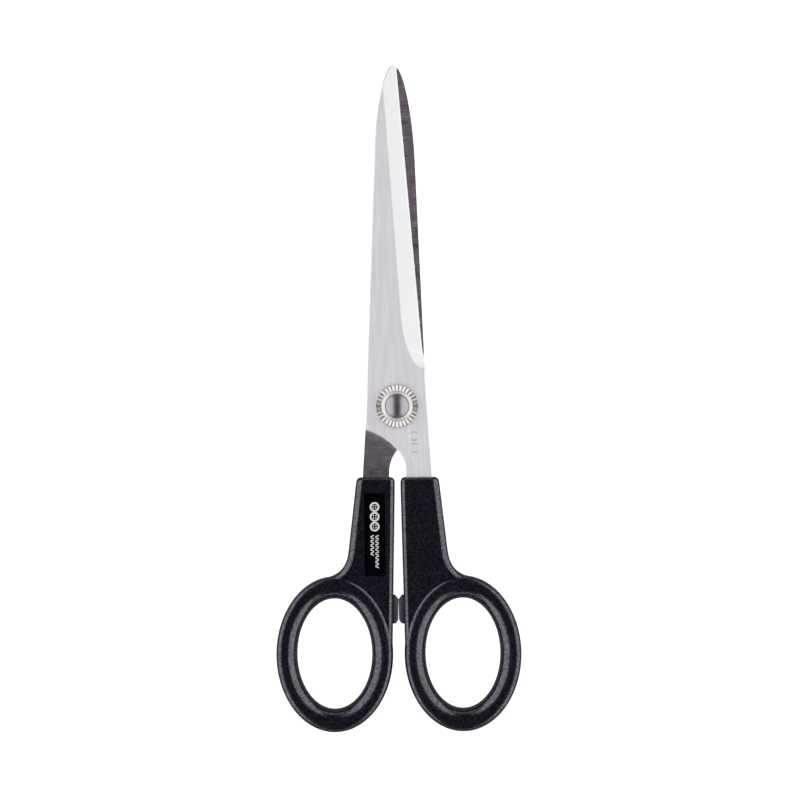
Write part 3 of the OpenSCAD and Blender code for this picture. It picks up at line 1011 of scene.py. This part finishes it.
# %% [markdown]
# The front blade has a small mark stamped beside the pivot. It is a motif of its own
# too, two rings and two dashes, cut in as V-shaped grooves, because a groove's sloping
# sides catch the light where a square one would vanish from above.

# %% Stamped mark
def stamped_mark():
    """A cutter of V-shaped grooves: two rings and two dashes down the blade."""
    face, deep, half, over = GAP + THICK, 0.11, 0.17, 0.05
    wide = half * (deep + over) / deep
    bm = bmesh.new()
    for x, y, radius in ((4.55, -8.1, 1.15), (4.75, -11.3, 1.15)):
        groove = [(radius - wide, face + over), (radius + wide, face + over), (radius, face - deep)]
        ring = turned_shape(groove, 64)
        bmesh.ops.translate(ring, verts=ring.verts, vec=(x, y, 0))
        add_to(bm, ring)
    for x, y in ((4.25, -14.6), (5.55, -14.6)):
        dash = bmesh.new()
        for end in (-1.1, 1.1):
            for dx, z in ((-wide, face + over), (wide, face + over), (0, face - deep)):
                dash.verts.new((x + dx, y + end, z))
        bmesh.ops.convex_hull(dash, input=dash.verts)
        add_to(bm, dash)
    return bm


cut(bpy.data.objects["front_blade_steel"], [stamped_mark()])

# %% [markdown]
# ## Camera, floor and light
#
# The shears are seen from straight above with a long lens, as in a catalogue. Two
# large soft panels, one on each side, light the satin edges in bands and leave the
# flat faces dark, because a flat face mirrors the dark room above. Two weaker ones stand
# low beyond the points and the loops.

# %% Camera
VIEW_WIDTH, LENS, SENSOR = 216.2 * MM, 200.0, 36.0
AIM = Vector((0.68, -0.225, 0)) * MM
ROLL = math.radians(-0.44)

camera_data = bpy.data.cameras.new("camera")
camera_data.lens, camera_data.sensor_width = LENS, SENSOR
camera = bpy.data.objects.new("camera", camera_data)
bpy.context.scene.collection.objects.link(camera)
camera.location = (AIM.x, AIM.y, PIVOT.z + VIEW_WIDTH * LENS / SENSOR)
camera.rotation_euler = (0, 0, ROLL)
bpy.context.scene.camera = camera
print(f"camera stands {camera.location.z:.2f} m above the table")

# %% Floor and world
def pale_floor():
    """A plain floor that glows to the camera only, so that it doesn't light the shears from below."""
    material, tree, shader = new_material("pale_floor")
    shader.inputs["Base Color"].default_value = (0.35, 0.35, 0.35, 1)
    shader.inputs["Roughness"].default_value = 0.9
    shader.inputs["Specular IOR Level"].default_value = 0.0
    shader.inputs["Emission Color"].default_value = (1, 1, 1, 1)
    seen = tree.nodes.new("ShaderNodeLightPath").outputs["Is Camera Ray"]
    wire(tree, math_node(tree, "MULTIPLY", seen, 1.05), shader.inputs["Emission Strength"])
    bm = bmesh.new()
    bmesh.ops.create_grid(bm, x_segments=1, y_segments=1, size=6)
    mesh = bpy.data.meshes.new("floor")
    bm.to_mesh(mesh)
    bm.free()
    mesh.materials.append(material)
    floor = bpy.data.objects.new("floor", mesh)
    bpy.context.scene.collection.objects.link(floor)


def studio_world():
    """Pale to the camera, and a dim room in reflections."""
    world = bpy.data.worlds.new("studio")
    bpy.context.scene.world = world
    world.use_nodes = True
    tree = world.node_tree
    room = tree.nodes["Background"]
    room.inputs["Color"].default_value = (0.024, 0.020, 0.032, 1)
    seen = tree.nodes.new("ShaderNodeBackground")
    seen.inputs["Color"].default_value = (1, 1, 1, 1)
    mix = tree.nodes.new("ShaderNodeMixShader")
    wire(tree, tree.nodes.new("ShaderNodeLightPath").outputs["Is Camera Ray"], mix.inputs[0])
    wire(tree, room.outputs[0], mix.inputs[1])
    wire(tree, seen.outputs[0], mix.inputs[2])
    wire(tree, mix.outputs[0], tree.nodes["World Output"].inputs["Surface"])


pale_floor()
studio_world()

# %% Panels
def panel(name, azimuth, tilt, width, length, radiance, distance=0.7):
    """A soft panel that looks at the shears; azimuth is from +X and tilt from straight above."""
    data = bpy.data.lights.new(name, "AREA")
    data.shape, data.size, data.size_y = "RECTANGLE", length, width
    data.energy = radiance * math.pi * width * length
    lamp = bpy.data.objects.new(name, data)
    bpy.context.scene.collection.objects.link(lamp)
    t, a = math.radians(tilt), math.radians(azimuth)
    way = Vector((math.sin(t) * math.cos(a), math.sin(t) * math.sin(a), math.cos(t)))
    lamp.location = way * distance
    lamp.rotation_euler = way.to_track_quat("Z", "Y").to_euler()
    lamp.visible_camera = False


for azimuth, name in ((0, "panel_right"), (180, "panel_left")):
    panel(name, azimuth, tilt=54, width=1.0, length=1.5, radiance=1.32)
for azimuth, name in ((90, "panel_far"), (-90, "panel_near")):
    panel(name, azimuth, tilt=70, width=0.30, length=0.8, radiance=0.5)
bpy.context.scene.view_settings.view_transform = "Standard"
